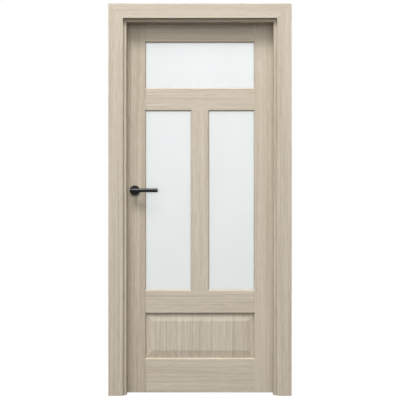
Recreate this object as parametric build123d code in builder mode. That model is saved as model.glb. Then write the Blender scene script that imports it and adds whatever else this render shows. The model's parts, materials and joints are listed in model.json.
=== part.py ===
from build123d import *
import os

# Glazed interior door: a rebated framed leaf in a cased wooden lining, on three pin hinges, with a lever
# on each face. Millimetres, +Z up. The origin is on the wall face of the hinge jamb, at floor level,
# half way through the wall. The front, with the deep reveal, faces -Y, and the leaf opens towards +Y.

os.makedirs("parts", exist_ok=True)

# Doorway and wall
passage_width = 800.0
passage_height = 2030.0
wall_thickness = 80.0

# Lining, the same section up both jambs and along the head
jamb_thickness = 42.0
lip_width = 17.0
lip_setback = 25.0
rebate_width = 14.0
lining_radius = 5.0

# Casings, each with a tongue in a groove of the lining
casing_width = 80.0
casing_thickness = 16.0
casing_radius = 2.0
tongue_thickness = 6.0
front_tongue_length = 40.0
rear_tongue_length = 18.0
rear_tongue_inset = 4.0
groove_clearance = 0.3
groove_spare_depth = 2.0

# Seal in the face of the stop
seal_inset = 5.5
seal_stem_width = 2.4
seal_stem_length = 6.0
seal_bulb_width = 8.0
seal_bulb_radius = 3.0
seal_gap = 0.3

# Leaf and the gaps around it
leaf_thickness = 40.0
lip_thickness = 14.5
lip_overlap = 14.0
edge_gap = 6.0
lip_gap = 5.0
stop_gap = 5.0
floor_gap = 4.0
leaf_radius = 2.0

# Stiles, rails and the openings between them
stile_width = 111.0
muntin_width = 102.0
top_rail_height = 110.0
upper_mid_rail_height = 127.0
lower_mid_rail_height = 132.5
bottom_rail_height = 188.0
top_opening_height = 250.0
panel_opening_height = 244.5
opening_chamfer = 6.0

# Panes and raised panel, held in grooves of the stiles and rails
groove_depth = 12.0
glass_thickness = 4.0
glass_recess = 8.0
panel_edge_thickness = 10.0
panel_field_thickness = 26.0
panel_level_margin = 41.5
panel_side_margin = 32.0
slide_clearance = 0.3
edge_clearance = 1.0

# Hinges
hinge_inset = 200.0
hinge_overhang = 9.0
knuckle_radius = 7.5
knuckle_length = 45.0
knuckle_gap = 0.3
pin_radius = 4.0
pin_length = 38.0
pin_clearance = 0.05
pin_end_clearance = 1.0
shank_radius = 4.0
shank_depth = 30.0
shank_clearance = 0.1

# Levers, roses and spindle
handle_height = 1114.5
lock_backset = 50.0
rose_radius = 27.5
rose_thickness = 8.0
rose_chamfer = 1.5
neck_radius = 9.0
neck_clearance = 0.05
neck_end_gap = 0.3
lever_radius = 10.5
lever_standoff = 48.0
lever_reach = 127.0
lever_tail = 23.0
lever_chamfer = 2.5
spindle_size = 8.0
spindle_clearance = 0.1
spindle_insert = 25.0
spindle_hole_radius = 11.0

# Latch in the leaf's edge, with its strike plate in the frame
latch_offset = 10.5
plate_width = 16.0
faceplate_height = 200.0
faceplate_rise = 70.0
plate_thickness = 2.0
bolt_width = 10.0
bolt_height = 30.0
bolt_length = 25.0
bolt_proud = 1.0
strike_height = 120.0
strike_dish_depth = 1.0

# Places across the wall
wall_front = -wall_thickness / 2
wall_back = wall_thickness / 2
casing_front = wall_front - casing_thickness
casing_back = wall_back + casing_thickness
lining_front = casing_front + lip_setback
lip_front = casing_back + lip_gap
leaf_back = lip_front + lip_thickness
leaf_front = leaf_back - leaf_thickness
leaf_middle = (leaf_front + leaf_back) / 2
glass_middle = leaf_front + glass_recess + glass_thickness / 2
stop_face = leaf_front - stop_gap

# Places along the wall
hinge_side = -jamb_thickness
latch_side = hinge_side - passage_width
door_centre = (hinge_side + latch_side) / 2
leaf_hinge_edge = hinge_side + rebate_width - edge_gap
leaf_latch_edge = latch_side - rebate_width + edge_gap
lip_hinge_edge = leaf_hinge_edge + lip_overlap
lip_latch_edge = leaf_latch_edge - lip_overlap
opening_left = leaf_latch_edge + stile_width
opening_right = leaf_hinge_edge - stile_width
muntin_left = door_centre - muntin_width / 2
muntin_right = door_centre + muntin_width / 2
spindle_x = leaf_latch_edge + lock_backset
hinge_axis_x = lip_hinge_edge + hinge_overhang
hinge_axis_y = (lip_front + leaf_back) / 2
latch_y = leaf_front + latch_offset

# Places up the wall
leaf_bottom = floor_gap
leaf_top = passage_height + rebate_width - edge_gap
lip_top = leaf_top + lip_overlap
panel_bottom = leaf_bottom + bottom_rail_height
panel_top = panel_bottom + panel_opening_height
glass_bottom = panel_top + lower_mid_rail_height
top_glass_top = leaf_top - top_rail_height
top_glass_bottom = top_glass_top - top_opening_height
glass_top = top_glass_bottom - upper_mid_rail_height
lower_hinge_z = leaf_bottom + hinge_inset
upper_hinge_z = lip_top - hinge_inset
middle_hinge_z = (lower_hinge_z + upper_hinge_z) / 2


def write(piece, name):
    """Label one finished piece and store it under its own name."""
    piece.label = name
    export_step(piece, f"parts/{name}.step")


# The frame's sections are drawn with X outwards from the passage face and Y through the wall

front_inner = lip_width + groove_clearance
front_tongue_end = front_inner + tongue_thickness
front_outer = front_inner + casing_width
front_groove_end = front_tongue_end + groove_clearance
front_tongue_tip = wall_front + front_tongue_length
front_groove_floor = front_tongue_tip + groove_spare_depth

rear_outer = rebate_width + casing_width
rear_groove_start = rebate_width + rear_tongue_inset
rear_tongue_start = rear_groove_start + groove_clearance
rear_tongue_end = rear_tongue_start + tongue_thickness
rear_groove_end = rear_tongue_end + groove_clearance
rear_tongue_tip = wall_back - rear_tongue_length
rear_groove_floor = rear_tongue_tip - groove_spare_depth

seal_stem_start = seal_inset + groove_clearance
seal_stem_end = seal_stem_start + seal_stem_width
seal_groove_end = seal_stem_end + groove_clearance
seal_stem_tip = stop_face - seal_stem_length
seal_groove_floor = seal_stem_tip - groove_clearance
seal_bulb_start = (seal_stem_start + seal_stem_end - seal_bulb_width) / 2
seal_bulb_end = seal_bulb_start + seal_bulb_width
seal_crown = leaf_front - seal_gap

lining_outline = [
    (0, lining_front),
    (0, stop_face),
    (seal_inset, stop_face),
    (seal_inset, seal_groove_floor),
    (seal_groove_end, seal_groove_floor),
    (seal_groove_end, stop_face),
    (rebate_width, stop_face),
    (rebate_width, wall_back),
    (rear_groove_start, wall_back),
    (rear_groove_start, rear_groove_floor),
    (rear_groove_end, rear_groove_floor),
    (rear_groove_end, wall_back),
    (jamb_thickness, wall_back),
    (jamb_thickness, wall_front),
    (front_groove_end, wall_front),
    (front_groove_end, front_groove_floor),
    (lip_width, front_groove_floor),
    (lip_width, lining_front),
]
front_casing_outline = [
    (front_inner, casing_front),
    (front_outer, casing_front),
    (front_outer, wall_front),
    (front_tongue_end, wall_front),
    (front_tongue_end, front_tongue_tip),
    (front_inner, front_tongue_tip),
]
rear_casing_outline = [
    (rebate_width, casing_back),
    (rebate_width, wall_back),
    (rear_tongue_start, wall_back),
    (rear_tongue_start, rear_tongue_tip),
    (rear_tongue_end, rear_tongue_tip),
    (rear_tongue_end, wall_back),
    (rear_outer, wall_back),
    (rear_outer, casing_back),
]
seal_outline = [
    (seal_stem_start, seal_stem_tip),
    (seal_stem_end, seal_stem_tip),
    (seal_stem_end, stop_face),
    (seal_bulb_end, stop_face),
    (seal_bulb_end, seal_crown),
    (seal_bulb_start, seal_crown),
    (seal_bulb_start, stop_face),
    (seal_stem_start, stop_face),
]

# Each side of the frame: where its section stands, how long it runs, and the mitres that end it
corner_reach = front_outer + rear_outer
hinge_mitre = Plane(origin=(hinge_side, 0, passage_height), z_dir=(-1, 0, 1))
latch_mitre = Plane(origin=(latch_side, 0, passage_height), z_dir=(1, 0, 1))
hinge_jamb_plane = Plane(origin=(hinge_side, 0, 0), x_dir=(1, 0, 0), z_dir=(0, 0, 1))
latch_jamb_plane = Plane(
    origin=(latch_side, 0, passage_height + corner_reach), x_dir=(-1, 0, 0), z_dir=(0, 0, -1)
)
head_plane = Plane(
    origin=(hinge_side + corner_reach, 0, passage_height), x_dir=(0, 0, 1), z_dir=(-1, 0, 0)
)
frame_sides = {
    "hinge": (hinge_jamb_plane, passage_height + corner_reach, [(hinge_mitre, Keep.BOTTOM)]),
    "latch": (latch_jamb_plane, passage_height + corner_reach, [(latch_mitre, Keep.BOTTOM)]),
    "head": (
        head_plane,
        passage_width + 2 * corner_reach,
        [(hinge_mitre, Keep.TOP), (latch_mitre, Keep.TOP)],
    ),
}


def front_corners(corners):
    """The two corners of a section that lie furthest forward."""
    return corners.sort_by(Axis.Y)[:2]


def rear_corners(corners):
    """The two corners of a section that lie furthest back."""
    return corners.sort_by(Axis.Y)[-2:]


def passage_corner(corners):
    """The front corner of a section's passage face."""
    return corners.group_by(Axis.X)[0].sort_by(Axis.Y)[:1]


def mitred_length(outline, side, rounded, radius):
    """One mitred length of a frame section, with the chosen corners rounded."""
    plane, run, mitres = frame_sides[side]
    with BuildPart() as length:
        with BuildSketch(plane) as section:
            with BuildLine():
                Polyline(*outline, close=True)
            make_face()
            fillet(rounded(section.vertices()), radius)
        extrude(amount=run)
        for mitre, keep in mitres:
            split(bisect_by=mitre, keep=keep)
    return length.part


def rod(origin, direction, radius, length):
    """A plain round rod that starts at origin."""
    with BuildPart() as bar:
        with BuildSketch(Plane(origin=origin, z_dir=direction)):
            Circle(radius)
        extrude(amount=length)
    return bar.part


def block(low, high):
    """A plain block between two opposite corners."""
    with BuildPart() as solid:
        with BuildSketch(Plane.XY.offset(low[2])):
            with Locations(((low[0] + high[0]) / 2, (low[1] + high[1]) / 2)):
                Rectangle(high[0] - low[0], high[1] - low[1])
        extrude(amount=high[2] - low[2])
    return solid.part


# Hinges: the frame's knuckle carries the pin, and the leaf's knuckle hangs on it

hinge_heights = {"lower": lower_hinge_z, "middle": middle_hinge_z, "upper": upper_hinge_z}
frame_shank_tip = wall_back - shank_depth
leaf_shank_tip = lip_hinge_edge - shank_depth


def frame_shank(joint_z, radius):
    """The shank of the lower knuckle, straight into the rear casing and the lining."""
    start = (hinge_axis_x, hinge_axis_y, joint_z - knuckle_length / 2)
    return rod(start, (0, -1, 0), radius, hinge_axis_y - frame_shank_tip)


def leaf_shank(joint_z, radius):
    """The shank of the upper knuckle, sideways into the lip of the leaf."""
    start = (hinge_axis_x, hinge_axis_y, joint_z + knuckle_gap + knuckle_length / 2)
    return rod(start, (-1, 0, 0), radius, hinge_axis_x - leaf_shank_tip)


def hinge_frame_part(joint_z):
    """The lower knuckle, with the pin standing on it and its shank behind it."""
    with BuildPart() as knuckle:
        with BuildSketch(Plane((hinge_axis_x, hinge_axis_y, joint_z - knuckle_length))):
            Circle(knuckle_radius)
        extrude(amount=knuckle_length)
        with BuildSketch(Plane((hinge_axis_x, hinge_axis_y, joint_z))):
            Circle(pin_radius)
        extrude(amount=pin_length)
        add(frame_shank(joint_z, shank_radius))
    return knuckle.part


def hinge_leaf_part(joint_z):
    """The upper knuckle, bored for the pin, with its shank beside it."""
    knuckle_bottom = joint_z + knuckle_gap
    bore_radius = pin_radius + pin_clearance
    with BuildPart() as knuckle:
        with BuildSketch(Plane((hinge_axis_x, hinge_axis_y, knuckle_bottom))):
            Circle(knuckle_radius)
        extrude(amount=knuckle_length)
        add(leaf_shank(joint_z, shank_radius))
        with BuildSketch(Plane((hinge_axis_x, hinge_axis_y, knuckle_bottom))):
            Circle(bore_radius)
        extrude(amount=pin_length - knuckle_gap + pin_end_clearance, mode=Mode.SUBTRACT)
    return knuckle.part


for level, joint_z in hinge_heights.items():
    write(hinge_frame_part(joint_z), f"{level}_hinge_frame_part")
    write(hinge_leaf_part(joint_z), f"{level}_hinge_leaf_part")

# Strike plate, let into the rebate face of the latch jamb and the edge of its rear casing

strike_face = latch_side - rebate_width
plate_front = latch_y - plate_width / 2
plate_back = latch_y + plate_width / 2
strike_low = (strike_face - plate_thickness, plate_front, handle_height - strike_height / 2)
strike_high = (strike_face, plate_back, handle_height + strike_height / 2)
bolt_front = latch_y - bolt_width / 2
bolt_back = latch_y + bolt_width / 2
bolt_low_z = handle_height - bolt_height / 2
bolt_high_z = handle_height + bolt_height / 2
strike_recess = block(strike_low, strike_high)

with BuildPart() as strike_plate:
    add(strike_recess)
    add(
        block(
            (strike_face - strike_dish_depth, bolt_front, bolt_low_z),
            (strike_face, bolt_back, bolt_high_z),
        ),
        mode=Mode.SUBTRACT,
    )
write(strike_plate.part, "strike_plate")

# Lining

shank_hole_radius = shank_radius + shank_clearance

with BuildPart() as hinge_jamb:
    add(mitred_length(lining_outline, "hinge", passage_corner, lining_radius))
    for joint_z in hinge_heights.values():
        add(frame_shank(joint_z, shank_hole_radius), mode=Mode.SUBTRACT)
write(hinge_jamb.part, "hinge_jamb")

with BuildPart() as latch_jamb:
    add(mitred_length(lining_outline, "latch", passage_corner, lining_radius))
    add(strike_recess, mode=Mode.SUBTRACT)
write(latch_jamb.part, "latch_jamb")

with BuildPart() as head_jamb:
    add(mitred_length(lining_outline, "head", passage_corner, lining_radius))
write(head_jamb.part, "head_jamb")

# Casings and seals

for side in frame_sides:
    front_casing = mitred_length(front_casing_outline, side, front_corners, casing_radius)
    write(front_casing, f"front_casing_{side}")
    seal = mitred_length(seal_outline, side, rear_corners, seal_bulb_radius)
    write(seal, f"seal_{side}")

with BuildPart() as rear_casing_hinge:
    add(mitred_length(rear_casing_outline, "hinge", rear_corners, casing_radius))
    for joint_z in hinge_heights.values():
        add(frame_shank(joint_z, shank_hole_radius), mode=Mode.SUBTRACT)
write(rear_casing_hinge.part, "rear_casing_hinge")

with BuildPart() as rear_casing_latch:
    add(mitred_length(rear_casing_outline, "latch", rear_corners, casing_radius))
    add(strike_recess, mode=Mode.SUBTRACT)
write(rear_casing_latch.part, "rear_casing_latch")

with BuildPart() as rear_casing_head:
    add(mitred_length(rear_casing_outline, "head", rear_corners, casing_radius))
write(rear_casing_head.part, "rear_casing_head")

# Openings of the leaf: left, right, bottom and top edge, and the depth and thickness of what they hold

openings = {
    "top_pane": (opening_left, opening_right, top_glass_bottom, top_glass_top, glass_middle, glass_thickness),
    "left_pane": (opening_left, muntin_left, glass_bottom, glass_top, glass_middle, glass_thickness),
    "right_pane": (muntin_right, opening_right, glass_bottom, glass_top, glass_middle, glass_thickness),
    "bottom_panel": (
        opening_left, opening_right, panel_bottom, panel_top, leaf_middle, panel_edge_thickness
    ),
}


def facing(y):
    """The plane across the wall at depth y, drawn in X and Z and facing the front."""
    return Plane.XZ.offset(-y)


def span(left, right, bottom, top):
    """A rectangle between four edges, in the sketch that is open."""
    with Locations(((left + right) / 2, (bottom + top) / 2)):
        Rectangle(right - left, top - bottom)


def opening_cut(left, right, bottom, top, held_middle, held_thickness):
    """What an opening takes from the members round it: the groove, and a chamfer on each face."""
    groove_width = held_thickness + 2 * slide_clearance
    with BuildPart() as cut:
        with BuildSketch(facing(held_middle + groove_width / 2)):
            span(left - groove_depth, right + groove_depth, bottom - groove_depth, top + groove_depth)
        extrude(amount=groove_width)
        for face, innermost in [(leaf_front, -1), (leaf_back, 0)]:
            with BuildSketch(facing(face + opening_chamfer)):
                span(
                    left - opening_chamfer,
                    right + opening_chamfer,
                    bottom - opening_chamfer,
                    top + opening_chamfer,
                )
            extrude(amount=2 * opening_chamfer)
            chamfer(cut.edges(Select.LAST).group_by(Axis.Y)[innermost], opening_chamfer)
    return cut.part


opening_cuts = [opening_cut(*opening) for opening in openings.values()]


def leaf_member(body, lip):
    """One stile, rail or muntin: its body, the thickness behind the rebate, and its openings' cuts."""
    with BuildPart() as member:
        with BuildSketch(facing(lip_front)):
            span(*body)
        extrude(amount=lip_front - leaf_front)
        with BuildSketch(facing(leaf_back)):
            span(*lip)
        extrude(amount=lip_thickness)
        for cut in opening_cuts:
            add(cut, mode=Mode.SUBTRACT)
    return member.part


# Latch: a plate let into the leaf's edge, and a bolt that stands just proud of it

faceplate_low = (leaf_latch_edge, plate_front, handle_height + faceplate_rise - faceplate_height)
faceplate_high = (leaf_latch_edge + plate_thickness, plate_back, handle_height + faceplate_rise)
faceplate_recess = block(faceplate_low, faceplate_high)
bolt_pocket = block(
    (
        leaf_latch_edge,
        bolt_front - slide_clearance,
        bolt_low_z - slide_clearance,
    ),
    (
        leaf_latch_edge + bolt_length,
        bolt_back + slide_clearance,
        bolt_high_z + slide_clearance,
    ),
)

with BuildPart() as latch_faceplate:
    add(faceplate_recess)
    add(bolt_pocket, mode=Mode.SUBTRACT)
write(latch_faceplate.part, "latch_faceplate")

with BuildPart() as latch_bolt:
    add(
        block(
            (leaf_latch_edge - bolt_proud, bolt_front, bolt_low_z),
            (leaf_latch_edge + bolt_length, bolt_back, bolt_high_z),
        )
    )
    fillet(latch_bolt.edges().filter_by(Axis.Z).sort_by(Axis.X)[:2], bolt_proud)
write(latch_bolt.part, "latch_bolt")

# Stiles, rails and muntin

with BuildPart() as latch_stile:
    add(
        leaf_member(
            (leaf_latch_edge, opening_left, leaf_bottom, leaf_top),
            (lip_latch_edge, opening_left, leaf_bottom, lip_top),
        )
    )
    add(faceplate_recess, mode=Mode.SUBTRACT)
    add(bolt_pocket, mode=Mode.SUBTRACT)
    add(
        rod((spindle_x, leaf_front, handle_height), (0, 1, 0), spindle_hole_radius, leaf_thickness),
        mode=Mode.SUBTRACT,
    )
    fillet(latch_stile.edges().filter_by(Axis.Z).group_by(Axis.X)[0], leaf_radius)
    fillet(latch_stile.edges().filter_by(Axis.X).group_by(Axis.Z)[-1], leaf_radius)
write(latch_stile.part, "latch_stile")

with BuildPart() as hinge_stile:
    add(
        leaf_member(
            (opening_right, leaf_hinge_edge, leaf_bottom, leaf_top),
            (opening_right, lip_hinge_edge, leaf_bottom, lip_top),
        )
    )
    for joint_z in hinge_heights.values():
        add(leaf_shank(joint_z, shank_hole_radius), mode=Mode.SUBTRACT)
    fillet(hinge_stile.edges().filter_by(Axis.Z).group_by(Axis.X)[-1], leaf_radius)
    fillet(hinge_stile.edges().filter_by(Axis.X).group_by(Axis.Z)[-1], leaf_radius)
write(hinge_stile.part, "hinge_stile")

with BuildPart() as top_rail:
    add(
        leaf_member(
            (opening_left, opening_right, top_glass_top, leaf_top),
            (opening_left, opening_right, top_glass_top, lip_top),
        )
    )
    fillet(top_rail.edges().filter_by(Axis.X).group_by(Axis.Z)[-1], leaf_radius)
write(top_rail.part, "top_rail")

inner_members = {
    "upper_mid_rail": (opening_left, opening_right, glass_top, top_glass_bottom),
    "lower_mid_rail": (opening_left, opening_right, panel_top, glass_bottom),
    "bottom_rail": (opening_left, opening_right, leaf_bottom, panel_bottom),
    "muntin": (muntin_left, muntin_right, glass_bottom, glass_top),
}
for name, edges in inner_members.items():
    write(leaf_member(edges, edges), name)

# Panes, each standing on the floor of its lower groove


def held_edges(left, right, bottom, top):
    """The edges of a sheet that stands in the grooves round an opening."""
    reach = groove_depth - edge_clearance
    return left - reach, right + reach, bottom - groove_depth, top + reach


for name in ["top_pane", "left_pane", "right_pane"]:
    with BuildPart() as pane:
        with BuildSketch(facing(glass_middle + glass_thickness / 2)):
            span(*held_edges(*openings[name][:4]))
        extrude(amount=glass_thickness)
    write(pane.part, name)

# Raised panel: a thin edge in the grooves, sloped margins and a flat field on both faces



def raised_section(start, end, margin):
    """The panel's section from edge to edge: thin at both, full thickness between the margins."""
    thin = panel_edge_thickness / 2
    full = panel_field_thickness / 2
    return [
        (start, leaf_middle - thin),
        (start + margin, leaf_middle - full),
        (end - margin, leaf_middle - full),
        (end, leaf_middle - thin),
        (end, leaf_middle + thin),
        (end - margin, leaf_middle + full),
        (start + margin, leaf_middle + full),
        (start, leaf_middle + thin),
    ]


panel_edges = openings["bottom_panel"][:4]
panel_foot_plane = Plane(origin=(0, 0, panel_bottom), x_dir=(1, 0, 0), z_dir=(0, 0, 1))
panel_end_plane = Plane(origin=(opening_right, 0, 0), x_dir=(0, 0, 1), z_dir=(-1, 0, 0))

with BuildPart() as bottom_panel:
    with BuildSketch(panel_foot_plane):
        with BuildLine():
            Polyline(*raised_section(opening_left, opening_right, panel_side_margin), close=True)
        make_face()
    extrude(amount=panel_opening_height)
    with BuildSketch(panel_end_plane):
        with BuildLine():
            Polyline(*raised_section(panel_bottom, panel_top, panel_level_margin), close=True)
        make_face()
    extrude(amount=opening_right - opening_left, mode=Mode.INTERSECT)
    with BuildSketch(facing(leaf_middle + panel_edge_thickness / 2)):
        span(*held_edges(*panel_edges))
    extrude(amount=panel_edge_thickness)
write(bottom_panel.part, "bottom_panel")

# Roses and levers: the rear ones mirror the front ones about the middle of the leaf

leaf_middle_plane = facing(leaf_middle)

with BuildPart() as front_rose:
    with BuildSketch(Plane((spindle_x, leaf_front, handle_height), z_dir=(0, -1, 0))):
        Circle(rose_radius)
        Circle(neck_radius + neck_clearance, mode=Mode.SUBTRACT)
    extrude(amount=rose_thickness)
    rim = front_rose.edges().filter_by(GeomType.CIRCLE).group_by(Axis.Y)[0].sort_by(SortBy.RADIUS)[-1]
    chamfer(rim, rose_chamfer)
write(front_rose.part, "front_rose")

with BuildPart() as front_lever:
    bar_start = (spindle_x - lever_tail, leaf_front - lever_standoff, handle_height)
    with BuildSketch(Plane(bar_start, z_dir=(1, 0, 0))):
        Circle(lever_radius)
    extrude(amount=lever_tail + lever_reach)
    chamfer(front_lever.edges().filter_by(GeomType.CIRCLE), lever_chamfer)
    add(
        rod(
            (spindle_x, leaf_front - neck_end_gap, handle_height),
            (0, -1, 0),
            neck_radius,
            lever_standoff - neck_end_gap,
        )
    )
    socket_half = spindle_size / 2 + spindle_clearance
    add(
        block(
            (spindle_x - socket_half, leaf_front - spindle_insert, handle_height - socket_half),
            (spindle_x + socket_half, leaf_front, handle_height + socket_half),
        ),
        mode=Mode.SUBTRACT,
    )
write(front_lever.part, "front_lever")

with BuildPart() as rear_rose:
    mirror(front_rose.part, about=leaf_middle_plane)
write(rear_rose.part, "rear_rose")

with BuildPart() as rear_lever:
    mirror(front_lever.part, about=leaf_middle_plane)
write(rear_lever.part, "rear_lever")

with BuildPart() as spindle:
    add(
        block(
            (spindle_x - spindle_size / 2, leaf_front - spindle_insert, handle_height - spindle_size / 2),
            (spindle_x + spindle_size / 2, leaf_back + spindle_insert, handle_height + spindle_size / 2),
        )
    )
write(spindle.part, "spindle")
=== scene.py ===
import json
import math

import bmesh
import bpy
from mathutils import Matrix, Vector


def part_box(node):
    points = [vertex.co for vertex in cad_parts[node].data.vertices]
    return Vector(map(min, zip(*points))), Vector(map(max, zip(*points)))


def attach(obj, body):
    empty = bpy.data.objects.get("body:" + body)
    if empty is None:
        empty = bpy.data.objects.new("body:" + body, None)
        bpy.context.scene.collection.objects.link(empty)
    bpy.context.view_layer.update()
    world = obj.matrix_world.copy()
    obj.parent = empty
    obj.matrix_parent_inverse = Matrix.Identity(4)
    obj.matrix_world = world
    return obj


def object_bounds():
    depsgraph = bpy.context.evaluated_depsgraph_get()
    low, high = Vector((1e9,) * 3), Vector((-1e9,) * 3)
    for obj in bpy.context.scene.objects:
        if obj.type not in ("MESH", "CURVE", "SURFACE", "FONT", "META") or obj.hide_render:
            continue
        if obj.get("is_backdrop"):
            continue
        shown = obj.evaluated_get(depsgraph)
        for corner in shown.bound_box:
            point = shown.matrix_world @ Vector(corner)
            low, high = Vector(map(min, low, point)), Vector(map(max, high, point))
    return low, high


# Glazed interior door: finishes, small fasteners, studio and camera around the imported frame. Metres, +Z up.

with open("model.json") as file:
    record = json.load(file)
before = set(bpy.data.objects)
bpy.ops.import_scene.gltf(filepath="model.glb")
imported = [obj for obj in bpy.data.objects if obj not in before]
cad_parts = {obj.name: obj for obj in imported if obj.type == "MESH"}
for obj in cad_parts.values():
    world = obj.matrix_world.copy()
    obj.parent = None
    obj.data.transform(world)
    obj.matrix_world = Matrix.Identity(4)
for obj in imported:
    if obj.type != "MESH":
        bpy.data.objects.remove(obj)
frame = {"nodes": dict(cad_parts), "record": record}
cad_low, cad_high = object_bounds()

MM = 0.001

# Axes that grain runs along
X = 0
Z = 2

# Camera: its distance from the front of the casings and its height, about half the doorset's, in metres,
# and its lens and sensor in millimetres
CAMERA_DISTANCE = 6.224
CAMERA_HEIGHT = 1.0616
CAMERA_LENS = 103.4
SENSOR_WIDTH = 36.0

# Sky: its level, how fast it falls off to the sides and the share left there, its share at the horizon and
# its rise from there, and how fast it falls off overhead
SKY_LEVEL = 2.2
SKY_FOCUS = 3.0
SKY_SIDES = 0.2
SKY_HORIZON = 0.7
SKY_RISE = 0.7
SKY_CROWN = 5.0

# Floor: its width, its own grey, the glow that makes it white to the camera, and the share of that glow
# that is seen through the panes
FLOOR_SIZE = 40.0
FLOOR_GREY = 0.08
FLOOR_GLOW = 0.92
FLOOR_BEHIND = 0.79

# Lamps, aimed at a share of the doorset's height: a square one for the front and one for the back, and two
# narrow upright ones in line with the wall, for the sides of the frame
LAMP_SIZE = 1.7
LAMP_COLOUR = (0.95, 0.975, 1.0)
LAMP_AIM = 0.6
FRONT_PLACE = (-1.4, -3.1, 6.7)
FRONT_POWER = 328.0
BACK_PLACE = (0.5, 4.0, 5.0)
BACK_POWER = 170.0
SIDE_WIDTH = 0.06
SIDE_DISTANCE = 4.0
SIDE_POWER = 45.0

# Rounded arrises: their widths, the angle from which an edge counts as sharp, and the reach within which
# the points of a mesh are joined first
WOOD_ARRIS = 0.5 * MM
METAL_ARRIS = 0.4 * MM
KNUCKLE_ARRIS = 1.5 * MM
ARRIS_SEGMENTS = 2
SHARP_ANGLE = math.radians(30)
WELD_REACH = 0.01 * MM

# Screws in the latch's plates
SCREW_RADIUS = 3.5 * MM
SCREW_DOME = 0.25 * MM
SCREW_SLOT_WIDTH = 0.9 * MM
SCREW_SLOT_LENGTH = 4.0 * MM
SCREW_SLOT_DEPTH = 0.8 * MM
SCREW_INSET = 12 * MM
SCREW_SIDES = 32

# All finishes: how rough their noise is, and how far at most a piece's pattern is shifted along each axis
NOISE_ROUGHNESS = 0.55
PIECE_SHIFT = (7.0, 11.0, 13.0)

# In each finish, a layer of noise is its features to the metre across the grain, those along it, and its
# octaves of detail. Colours go by a value from 0 to 1, a roughness runs between two ends, and a relief is
# a strength and a depth.

# Wood: its layers of grain, with how far the first one bends the others and how much each of those weighs
GRAIN_WANDER = (9.0, 1.2, 1.0)
GRAIN_BANDS = (60.0, 0.7, 1.0)
GRAIN_STREAKS = (240.0, 1.3, 2.0)
GRAIN_PORES = (480.0, 14.0, 3.0)
WANDER_REACH = 6 * MM
BAND_WEIGHT = 0.45
STREAK_WEIGHT = 0.85
PORE_WEIGHT = 1.0
WOOD_COLOURS = [
    (0.0, (0.335, 0.275, 0.2)),
    (0.35, (0.475, 0.405, 0.31)),
    (0.55, (0.565, 0.492, 0.39)),
    (1.0, (0.72, 0.65, 0.545)),
]
WOOD_ROUGHNESS = (0.62, 0.42)
WOOD_SPECULAR = 0.35
WOOD_RELIEF = (0.25, 0.2 * MM)

# Wood: how strong the grain is, the tone of most boards, the painted shade that darkens the latch stile for
# the shadow of the latch jamb, the lower mid rail's own paler tone, and the share of the grain's fineness
# that shows in depth, low so that streaks run straight over slopes
WOOD_CONTRAST = 0.85
PANEL_CONTRAST = 1.0
WOOD_TONE = 0.5
LATCH_STILE_PAINTED_SHADE = -0.17
LOWER_RAIL_SHADE = 0.03
GRAIN_DEPTH = 0.22

# Frosted glass
GLASS_CLOUD = (5.0, 3.0, 2.0)
GLASS_ETCH = (1500.0, 1500.0, 2.0)
GLASS_COLOURS = [(0.3, (0.86, 0.885, 0.88)), (0.7, (0.885, 0.905, 0.9))]
GLASS_ROUGHNESS = (0.34, 0.44)
GLASS_IOR = 1.45
GLASS_TRANSMISSION = 0.84
GLASS_RELIEF = (0.1, 0.05 * MM)

# Black coat on metal
COAT_CLOUD = (60.0, 60.0, 2.0)
COAT_GRAIN = (1600.0, 1600.0, 2.0)
COAT_COLOURS = [(0.25, (0.003, 0.003, 0.0035)), (0.75, (0.006, 0.006, 0.0065))]
COAT_ROUGHNESS = (0.3, 0.44)
COAT_RELIEF = (0.12, 0.05 * MM)

# Brushed steel
STEEL_BRUSH = (2600.0, 40.0, 3.0)
STEEL_COLOURS = [(0.25, (0.46, 0.455, 0.445)), (0.75, (0.68, 0.675, 0.665))]
STEEL_ROUGHNESS = (0.24, 0.42)
STEEL_RELIEF = (0.15, 0.05 * MM)

# Soft seal
SEAL_SKIN = (900.0, 900.0, 2.0)
SEAL_COLOURS = [(0.25, (0.44, 0.385, 0.31)), (0.75, (0.52, 0.46, 0.375))]
SEAL_ROUGHNESS = (0.66, 0.82)
SEAL_RELIEF = (0.15, 0.1 * MM)


# Shader nodes

def node(tree, kind, inputs=(), **settings):
    """One shader node with its settings. An input that is a socket is linked, any other is set."""
    made = tree.nodes.new(kind)
    for name, value in settings.items():
        setattr(made, name, value)
    for name, value in dict(inputs).items():
        if isinstance(value, bpy.types.NodeSocket):
            tree.links.new(value, made.inputs[name])
        else:
            made.inputs[name].default_value = value
    return made


def blank_material(name):
    """A material with an empty node tree and its output."""
    material = bpy.data.materials.new(name)
    material.use_nodes = True
    material.node_tree.nodes.clear()
    output = material.node_tree.nodes.new("ShaderNodeOutputMaterial")
    return material, material.node_tree, output


def surface(tree, output, inputs):
    """The principled shader that the material shows."""
    shader = node(tree, "ShaderNodeBsdfPrincipled", inputs)
    tree.links.new(shader.outputs["BSDF"], output.inputs["Surface"])


def maths(tree, operation, *values):
    """The result of one math node."""
    return node(tree, "ShaderNodeMath", enumerate(values), operation=operation).outputs["Value"]


def weighted(tree, value, weight, base):
    """value times weight, plus base."""
    return maths(tree, "MULTIPLY_ADD", value, weight, base)


def vector_maths(tree, operation, first, second):
    """The result of one vector math node."""
    made = node(tree, "ShaderNodeVectorMath", {0: first, 1: second}, operation=operation)
    return made.outputs["Vector"]


def spread(tree, value, low, high):
    """A value from 0 to 1, spread from low to high."""
    made = node(tree, "ShaderNodeMapRange", {"Value": value, "To Min": low, "To Max": high})
    return made.outputs["Result"]


def ramp(tree, value, stops):
    """Colours by value."""
    made = node(tree, "ShaderNodeValToRGB", {"Fac": value})
    elements = made.color_ramp.elements
    for position, colour in stops[len(elements):]:
        elements.new(position)
    for element, (position, colour) in zip(elements, stops):
        element.position = position
        element.color = (*colour, 1.0)
    return made.outputs["Color"]


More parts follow.
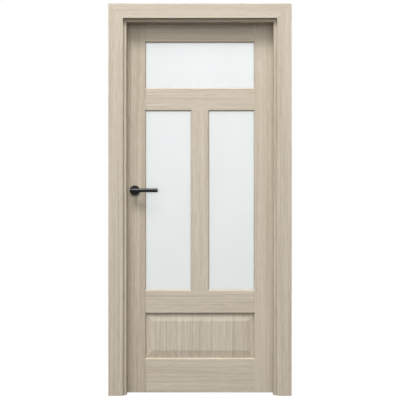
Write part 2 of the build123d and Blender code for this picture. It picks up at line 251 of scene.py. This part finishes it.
def relief(tree, height, strength, depth):
    """A bump of that depth."""
    made = node(tree, "ShaderNodeBump", {"Height": height, "Strength": strength, "Distance": depth})
    return made.outputs["Normal"]


def piece_coordinates(tree):
    """Places on the piece in metres, shifted by a length of its own, so that no two pieces look alike."""
    place = node(tree, "ShaderNodeTexCoord").outputs["Object"]
    own = node(tree, "ShaderNodeObjectInfo").outputs["Random"]
    shift = vector_maths(tree, "MULTIPLY", own, PIECE_SHIFT)
    return vector_maths(tree, "ADD", place, shift)


def stretched_noise(tree, place, grain, layer, depth=1.0):
    """A layer of noise along the grain's axis, with a share of its fineness in depth."""
    across, along, detail = layer
    scale = [across, across * depth, across]
    scale[grain] = along
    noise = node(
        tree,
        "ShaderNodeTexNoise",
        {
            "Vector": vector_maths(tree, "MULTIPLY", place, scale),
            "Scale": 1.0,
            "Detail": detail,
            "Roughness": NOISE_ROUGHNESS,
        },
    )
    return noise.outputs["Fac"]


# Finishes

def wood(name, grain, contrast, shade=0.0):
    """Pale grey-beige straight-grained wood under a satin lacquer, darker or paler by its shade: painted
    shade on the latch stile, a board's own tone on the lower mid rail.
    """
    material, tree, output = blank_material(name)
    place = piece_coordinates(tree)
    wander = stretched_noise(tree, place, grain, GRAIN_WANDER, GRAIN_DEPTH)
    bend = weighted(tree, wander, WANDER_REACH, -WANDER_REACH / 2)
    place = vector_maths(tree, "ADD", place, bend)
    bands = stretched_noise(tree, place, grain, GRAIN_BANDS, GRAIN_DEPTH)
    streaks = stretched_noise(tree, place, grain, GRAIN_STREAKS, GRAIN_DEPTH)
    pores = stretched_noise(tree, place, grain, GRAIN_PORES, GRAIN_DEPTH)
    mean_grain = contrast * (BAND_WEIGHT + STREAK_WEIGHT + PORE_WEIGHT) / 2
    tone = weighted(tree, bands, BAND_WEIGHT * contrast, WOOD_TONE + shade - mean_grain)
    tone = weighted(tree, streaks, STREAK_WEIGHT * contrast, tone)
    tone = weighted(tree, pores, PORE_WEIGHT * contrast, tone)
    surface(
        tree,
        output,
        {
            "Base Color": ramp(tree, tone, WOOD_COLOURS),
            "Roughness": spread(tree, streaks, *WOOD_ROUGHNESS),
            "Specular IOR Level": WOOD_SPECULAR,
            "Normal": relief(tree, tone, *WOOD_RELIEF),
        },
    )
    return material


def frosted_glass(name):
    """White acid-etched glass."""
    material, tree, output = blank_material(name)
    place = piece_coordinates(tree)
    cloud = stretched_noise(tree, place, Z, GLASS_CLOUD)
    etch = stretched_noise(tree, place, Z, GLASS_ETCH)
    surface(
        tree,
        output,
        {
            "Base Color": ramp(tree, cloud, GLASS_COLOURS),
            "Roughness": spread(tree, etch, *GLASS_ROUGHNESS),
            "IOR": GLASS_IOR,
            "Transmission Weight": GLASS_TRANSMISSION,
            "Normal": relief(tree, etch, *GLASS_RELIEF),
        },
    )
    return material


def black_metal(name):
    """Black powder coat, satin."""
    material, tree, output = blank_material(name)
    place = piece_coordinates(tree)
    coat = stretched_noise(tree, place, Z, COAT_GRAIN)
    cloud = stretched_noise(tree, place, Z, COAT_CLOUD)
    surface(
        tree,
        output,
        {
            "Base Color": ramp(tree, cloud, COAT_COLOURS),
            "Roughness": spread(tree, coat, *COAT_ROUGHNESS),
            "Normal": relief(tree, coat, *COAT_RELIEF),
        },
    )
    return material


def brushed_steel(name):
    """Steel brushed up and down."""
    material, tree, output = blank_material(name)
    brush = stretched_noise(tree, piece_coordinates(tree), Z, STEEL_BRUSH)
    surface(
        tree,
        output,
        {
            "Base Color": ramp(tree, brush, STEEL_COLOURS),
            "Metallic": 1.0,
            "Roughness": spread(tree, brush, *STEEL_ROUGHNESS),
            "Normal": relief(tree, brush, *STEEL_RELIEF),
        },
    )
    return material


def soft_seal(name):
    """Beige soft plastic, matt."""
    material, tree, output = blank_material(name)
    skin = stretched_noise(tree, piece_coordinates(tree), Z, SEAL_SKIN)
    surface(
        tree,
        output,
        {
            "Base Color": ramp(tree, skin, SEAL_COLOURS),
            "Roughness": spread(tree, skin, *SEAL_ROUGHNESS),
            "Normal": relief(tree, skin, *SEAL_RELIEF),
        },
    )
    return material


def soften(piece, width):
    """Round the sharp arrises of a piece."""
    weld = piece.modifiers.new("weld", "WELD")
    weld.merge_threshold = WELD_REACH
    bevel = piece.modifiers.new("arris", "BEVEL")
    bevel.width = width
    bevel.segments = ARRIS_SEGMENTS
    bevel.limit_method = "ANGLE"
    bevel.angle_limit = SHARP_ANGLE
    normals = piece.modifiers.new("normals", "WEIGHTED_NORMAL")
    normals.keep_sharp = True


finishes = {
    "wood_upright": wood("wood_upright", Z, WOOD_CONTRAST),
    "wood_level": wood("wood_level", X, WOOD_CONTRAST),
    "frosted_glass": frosted_glass("frosted_glass"),
    "black_metal": black_metal("black_metal"),
    "steel": brushed_steel("brushed_steel"),
    "seal": soft_seal("soft_seal"),
}
own_finishes = {
    # The latch stile's darker wood is painted shade, for the shadow that the latch jamb casts on it
    "latch_stile": wood("wood_latch_stile_painted_shade", Z, WOOD_CONTRAST, LATCH_STILE_PAINTED_SHADE),
    "lower_mid_rail": wood("wood_lower_mid_rail", X, WOOD_CONTRAST, LOWER_RAIL_SHADE),
    "bottom_panel": wood("wood_panel", Z, PANEL_CONTRAST),
}
arrises = {
    "wood_upright": WOOD_ARRIS,
    "wood_level": WOOD_ARRIS,
    "black_metal": METAL_ARRIS,
    "steel": METAL_ARRIS,
}
slots = {part["node"]: part["material_slot"] for part in frame["record"]["subparts"]}
for name, piece in frame["nodes"].items():
    slot = slots[name]
    piece.data.materials.clear()
    piece.data.materials.append(own_finishes.get(name, finishes[slot]))
    if "hinge_leaf" in name or "hinge_frame" in name:
        soften(piece, KNUCKLE_ARRIS)
    elif slot in arrises:
        soften(piece, arrises[slot])


def in_scene(name, data):
    """A new object in the scene."""
    made = bpy.data.objects.new(name, data)
    bpy.context.scene.collection.objects.link(made)
    return made


# Screws

def ring(corners):
    """Each corner of a closed outline with the next one."""
    return zip(corners, corners[1:] + corners[:1])


def cross_screw(name, place, outward, body):
    """The head of a cross-slotted screw, let into a plate: place is on the plate's face."""
    mesh = bmesh.new()
    rim = [
        mesh.verts.new((SCREW_RADIUS * math.cos(turn), SCREW_RADIUS * math.sin(turn), 0.0))
        for turn in (2 * math.pi * side / SCREW_SIDES for side in range(SCREW_SIDES))
    ]
    half = SCREW_SLOT_WIDTH / 2
    reach = SCREW_SLOT_LENGTH / 2
    cross = [
        (half, half), (half, reach), (-half, reach), (-half, half), (-reach, half), (-reach, -half),
        (-half, -half), (-half, -reach), (half, -reach), (half, -half), (reach, -half), (reach, half),
    ]
    lip = [mesh.verts.new((x, y, SCREW_DOME)) for x, y in cross]
    floor = [mesh.verts.new((x, y, SCREW_DOME - SCREW_SLOT_DEPTH)) for x, y in cross]
    foot = [mesh.verts.new((corner.co.x, corner.co.y, -SCREW_SLOT_DEPTH)) for corner in rim]
    for corners in (lip, rim):
        for start, end in ring(corners):
            mesh.edges.new((start, end))
    bmesh.ops.triangle_fill(mesh, use_beauty=True, edges=mesh.edges[:])
    for upper, lower in ((lip, floor), (rim, foot)):
        for (start, end), (start_below, end_below) in zip(ring(upper), ring(lower)):
            mesh.faces.new((start, end, end_below, start_below))
    mesh.faces.new(floor)
    mesh.faces.new(foot)
    bmesh.ops.recalc_face_normals(mesh, faces=mesh.faces)
    data = bpy.data.meshes.new(name)
    mesh.to_mesh(data)
    mesh.free()
    data.transform(Matrix.Translation(place) @ outward.to_track_quat("Z", "Y").to_matrix().to_4x4())
    data.materials.append(finishes["steel"])
    piece = in_scene(name, data)
    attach(piece, body)


plate_screws = {
    "latch_faceplate": ("leaf", Vector((-1, 0, 0))),
    "strike_plate": ("frame", Vector((1, 0, 0))),
}
for plate, (body, outward) in plate_screws.items():
    low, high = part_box(plate)
    face = low.x if outward.x < 0 else high.x
    middle = (low.y + high.y) / 2
    for end, height in (("lower", low.z + SCREW_INSET), ("upper", high.z - SCREW_INSET)):
        cross_screw(f"{plate}_{end}_screw", Vector((face, middle, height)), outward, body)


# Floor, sky and lamps

def studio_floor():
    """A pale floor that stays white to the camera and keeps the shadow."""
    material, tree, output = blank_material("studio_floor")
    path = node(tree, "ShaderNodeLightPath").outputs
    behind = weighted(tree, path["Is Transmission Ray"], FLOOR_BEHIND, 0.0)
    seen = maths(tree, "MAXIMUM", path["Is Camera Ray"], behind)
    matt = node(tree, "ShaderNodeBsdfDiffuse", {"Color": (FLOOR_GREY, FLOOR_GREY, FLOOR_GREY, 1.0)})
    glow = node(tree, "ShaderNodeEmission", {"Strength": weighted(tree, seen, FLOOR_GLOW, 0.0)})
    both = node(tree, "ShaderNodeAddShader", {0: matt.outputs["BSDF"], 1: glow.outputs["Emission"]})
    tree.links.new(both.outputs["Shader"], output.inputs["Surface"])
    data = bpy.data.meshes.new("studio_floor")
    half = FLOOR_SIZE / 2
    corners = [(-half, -half, 0), (half, -half, 0), (half, half, 0), (-half, half, 0)]
    data.from_pydata(corners, [], [(0, 1, 2, 3)])
    data.materials.append(material)
    floor = in_scene("studio_floor", data)
    floor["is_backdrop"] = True


def sky():
    """Soft light, strongest ahead and behind, weak at the sides and overhead, white where it is seen."""
    world = bpy.data.worlds.new("studio_sky")
    bpy.context.scene.world = world
    world.use_nodes = True
    tree = world.node_tree
    tree.nodes.clear()
    path = node(tree, "ShaderNodeLightPath").outputs
    seen = maths(tree, "MAXIMUM", path["Is Camera Ray"], path["Is Glossy Ray"])
    seen = maths(tree, "MAXIMUM", seen, path["Is Transmission Ray"])
    place = node(tree, "ShaderNodeTexCoord").outputs["Generated"]
    direction = node(tree, "ShaderNodeSeparateXYZ", {"Vector": place}).outputs
    sideways = maths(tree, "MULTIPLY", direction["X"], direction["X"])
    ahead = maths(tree, "POWER", weighted(tree, sideways, -1.0, 1.0), SKY_FOCUS)
    ahead = weighted(tree, ahead, 1.0 - SKY_SIDES, SKY_SIDES)
    overhead = maths(tree, "POWER", direction["Z"], SKY_CROWN)
    ahead = maths(tree, "MULTIPLY", ahead, weighted(tree, overhead, -1.0, 1.0))
    upward = weighted(tree, direction["Z"], SKY_LEVEL * SKY_RISE, SKY_LEVEL * SKY_HORIZON)
    level = maths(tree, "MULTIPLY", ahead, upward)
    strength = node(tree, "ShaderNodeMix", {"Factor": seen, "A": level, "B": 1.0}).outputs["Result"]
    background = node(tree, "ShaderNodeBackground", {"Color": (1.0, 1.0, 1.0, 1.0), "Strength": strength})
    output = node(tree, "ShaderNodeOutputWorld")
    tree.links.new(background.outputs["Background"], output.inputs["Surface"])


def lamp(name, place, target, power, width=LAMP_SIZE):
    """A soft lamp, aimed at the door, which doesn't show through the panes."""
    data = bpy.data.lights.new(name, "AREA")
    data.shape = "RECTANGLE"
    data.size = width
    data.size_y = LAMP_SIZE
    data.energy = power
    data.color = LAMP_COLOUR
    made = in_scene(name, data)
    made.location = place
    made.visible_transmission = False
    made.rotation_euler = (target - place).to_track_quat("-Z", "Y").to_euler()


casing_low, casing_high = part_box("front_casing_head")
door_x = (casing_low.x + casing_high.x) / 2
aim = Vector((door_x, casing_low.y, cad_high.z * LAMP_AIM))

studio_floor()
sky()
lamp("front_lamp", Vector(FRONT_PLACE), aim, FRONT_POWER)
lamp("back_lamp", Vector(BACK_PLACE), aim, BACK_POWER)
wall_aim = Vector((door_x, 0.0, aim.z))
for side, direction in (("latch", -1), ("hinge", 1)):
    place = wall_aim + Vector((direction * SIDE_DISTANCE, 0.0, 0.0))
    lamp(f"{side}_side_lamp", place, wall_aim, SIDE_POWER, SIDE_WIDTH)

# Camera

camera_data = bpy.data.cameras.new("camera")
camera_data.lens = CAMERA_LENS
camera_data.sensor_width = SENSOR_WIDTH
camera = in_scene("camera", camera_data)
camera.location = (door_x, casing_low.y - CAMERA_DISTANCE, CAMERA_HEIGHT)
camera.rotation_euler = (math.pi / 2, 0.0, 0.0)
bpy.context.scene.camera = camera
bpy.context.scene.view_settings.view_transform = "Standard"

low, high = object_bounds()
